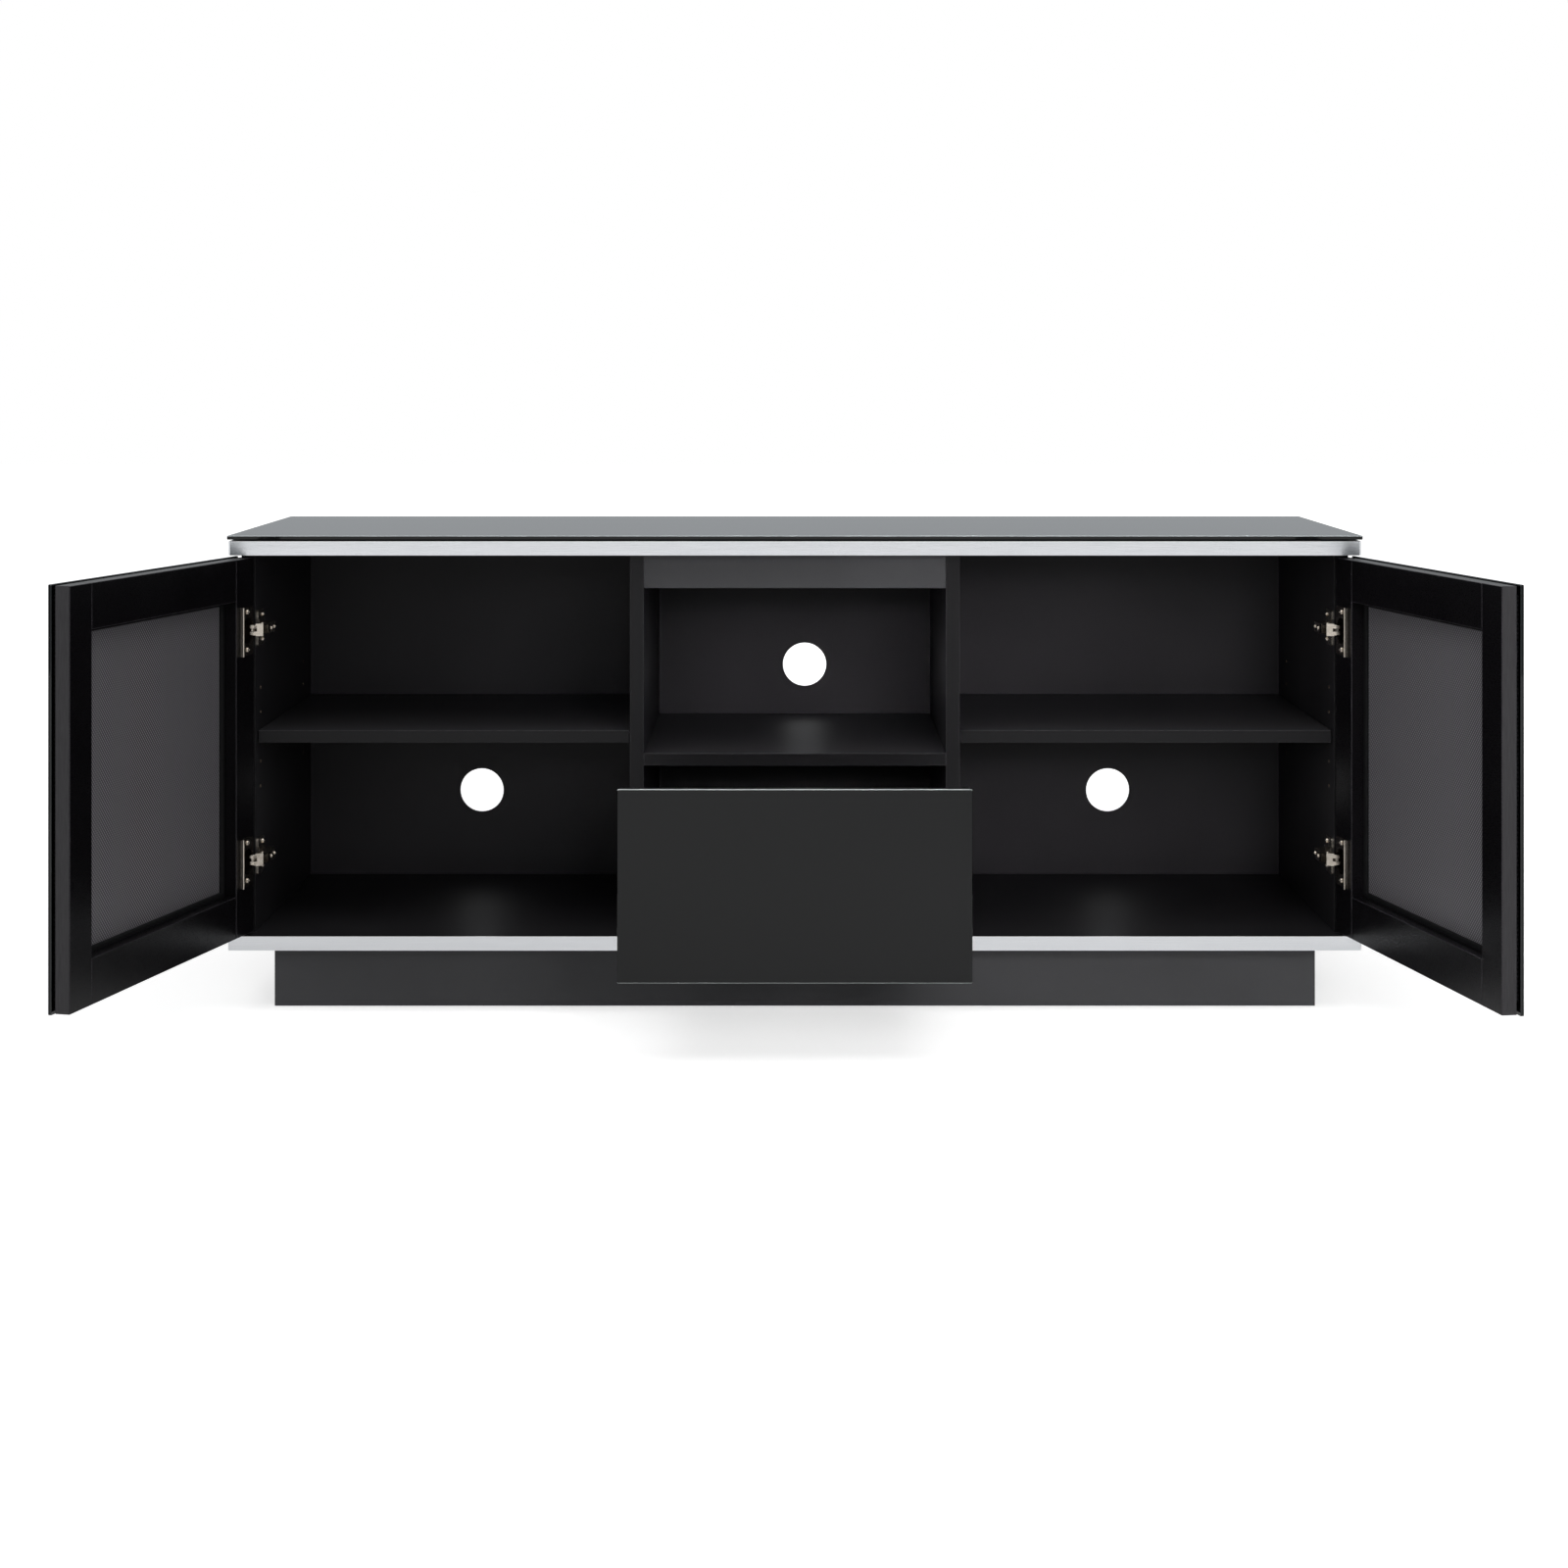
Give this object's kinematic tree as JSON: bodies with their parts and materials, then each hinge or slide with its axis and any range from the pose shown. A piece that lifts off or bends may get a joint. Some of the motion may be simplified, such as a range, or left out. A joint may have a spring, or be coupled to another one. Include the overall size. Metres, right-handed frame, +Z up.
{
  "type": "media cabinet",
  "caption": "Low media cabinet with a glass top, an open niche over a drawer, shelved bays behind framed glass doors on concealed hinges, and a recessed plinth.",
  "frame": {"origin": "on the floor, under the middle of the case, on the underside of the plinth's middle brace", "axes": "+X to the right of someone facing the doors, +Y from the front to the back, +Z up; the doors stand open and the drawer is pulled out towards -Y"},
  "size_m": [1.6491, 0.9514, 0.61],
  "materials": {
    "black_glass": "black back-painted tempered glass, polished",
    "black_board": "particleboard in black foil, semi-gloss",
    "grey_board": "particleboard in dark grey foil, satin",
    "hardboard": "hardboard in black paper foil, fine orange peel",
    "door_frame": "fibreboard frame in black foil, satin",
    "mesh_sheet": "dark grey fine woven mesh sheet",
    "aluminium": "brushed and clear anodised",
    "nickel": "nickel plated pressed steel",
    "zinc_steel": "zinc plated rolled steel"
  },
  "bodies": {
    "case": {"glass_top": "black_glass", "top_panel": "black_board", "top_trim": "aluminium", "bottom_panel": "black_board", "bottom_trim": "aluminium", "left_side": "black_board", "right_side": "black_board", "left_divider": "black_board", "right_divider": "black_board", "left_shelf": "black_board", "right_shelf": "black_board", "niche_shelf": "black_board", "niche_fascia": "grey_board", "back_panel": "hardboard", "plinth_front": "grey_board", "plinth_back": "grey_board", "plinth_left": "grey_board", "plinth_right": "grey_board", "plinth_brace": "grey_board", "left_upper_hinge_arm": "nickel", "left_lower_hinge_arm": "nickel", "right_upper_hinge_arm": "nickel", "right_lower_hinge_arm": "nickel", "left_slide_case_member": "zinc_steel", "right_slide_case_member": "zinc_steel"},
    "left_door": {"left_door_hinge_stile": "door_frame", "left_door_free_stile": "door_frame", "left_door_top_rail": "door_frame", "left_door_bottom_rail": "door_frame", "left_door_mesh": "mesh_sheet", "left_door_glass": "black_glass", "left_upper_hinge_cup": "nickel", "left_lower_hinge_cup": "nickel"},
    "right_door": {"right_door_hinge_stile": "door_frame", "right_door_free_stile": "door_frame", "right_door_top_rail": "door_frame", "right_door_bottom_rail": "door_frame", "right_door_mesh": "mesh_sheet", "right_door_glass": "black_glass", "right_upper_hinge_cup": "nickel", "right_lower_hinge_cup": "nickel"},
    "left_outer_links": {"left_upper_hinge_outer_link": "nickel", "left_lower_hinge_outer_link": "nickel"},
    "left_inner_links": {"left_upper_hinge_inner_link": "nickel", "left_lower_hinge_inner_link": "nickel"},
    "right_outer_links": {"right_upper_hinge_outer_link": "nickel", "right_lower_hinge_outer_link": "nickel"},
    "right_inner_links": {"right_upper_hinge_inner_link": "nickel", "right_lower_hinge_inner_link": "nickel"},
    "drawer": {"drawer_glass": "black_glass", "drawer_front_board": "door_frame", "drawer_left_side": "black_board", "drawer_right_side": "black_board", "drawer_back": "black_board", "drawer_bottom": "hardboard", "left_slide_drawer_member": "zinc_steel", "right_slide_drawer_member": "zinc_steel"},
    "left_slide_middle": {"left_slide_middle_member": "zinc_steel"},
    "right_slide_middle": {"right_slide_middle_member": "zinc_steel"}
  },
  "joints": [
    {"name": "left_door_hinge", "type": "hinge", "parent": "case", "child": "left_door", "pos_m": [-0.705, -0.225, 0.342], "axis": [0, 0, -1], "range_deg": [-103.5, 1.5]},
    {"name": "left_outer_links_pivot", "type": "hinge", "parent": "case", "child": "left_outer_links", "pos_m": [-0.683, -0.2202, 0.342], "axis": [0, 0, 1], "range_deg": [-44.8, 0.9]},
    {"name": "left_inner_links_pivot", "type": "hinge", "parent": "case", "child": "left_inner_links", "pos_m": [-0.6885, -0.217, 0.342], "axis": [0, 0, 1], "range_deg": [-41.7, 0.9]},
    {"name": "right_door_hinge", "type": "hinge", "parent": "case", "child": "right_door", "pos_m": [0.705, -0.225, 0.342], "axis": [0, 0, 1], "range_deg": [-101, 4]},
    {"name": "right_outer_links_pivot", "type": "hinge", "parent": "case", "child": "right_outer_links", "pos_m": [0.683, -0.2202, 0.342], "axis": [0, 0, -1], "range_deg": [-43.7, 2]},
    {"name": "right_inner_links_pivot", "type": "hinge", "parent": "case", "child": "right_inner_links", "pos_m": [0.6885, -0.217, 0.342], "axis": [0, 0, -1], "range_deg": [-40.7, 1.9]},
    {"name": "drawer_slide", "type": "slide", "parent": "case", "child": "drawer", "axis": [0, -1, 0], "range_m": [-0.293, 0.107]},
    {"name": "left_middle_member_slide", "type": "slide", "parent": "case", "child": "left_slide_middle", "axis": [0, -1, 0], "range_m": [-0.147, 0.054]},
    {"name": "right_middle_member_slide", "type": "slide", "parent": "case", "child": "right_slide_middle", "axis": [0, -1, 0], "range_m": [-0.147, 0.054]}
  ],
  "couplings": [
    {"joint": "left_outer_links_pivot", "follows": "left_door_hinge", "ratio": 0.43},
    {"joint": "left_inner_links_pivot", "follows": "left_door_hinge", "ratio": 0.4},
    {"joint": "right_outer_links_pivot", "follows": "right_door_hinge", "ratio": 0.43},
    {"joint": "right_inner_links_pivot", "follows": "right_door_hinge", "ratio": 0.4},
    {"joint": "left_middle_member_slide", "follows": "drawer_slide", "ratio": 0.5},
    {"joint": "right_middle_member_slide", "follows": "drawer_slide", "ratio": 0.5}
  ]
}
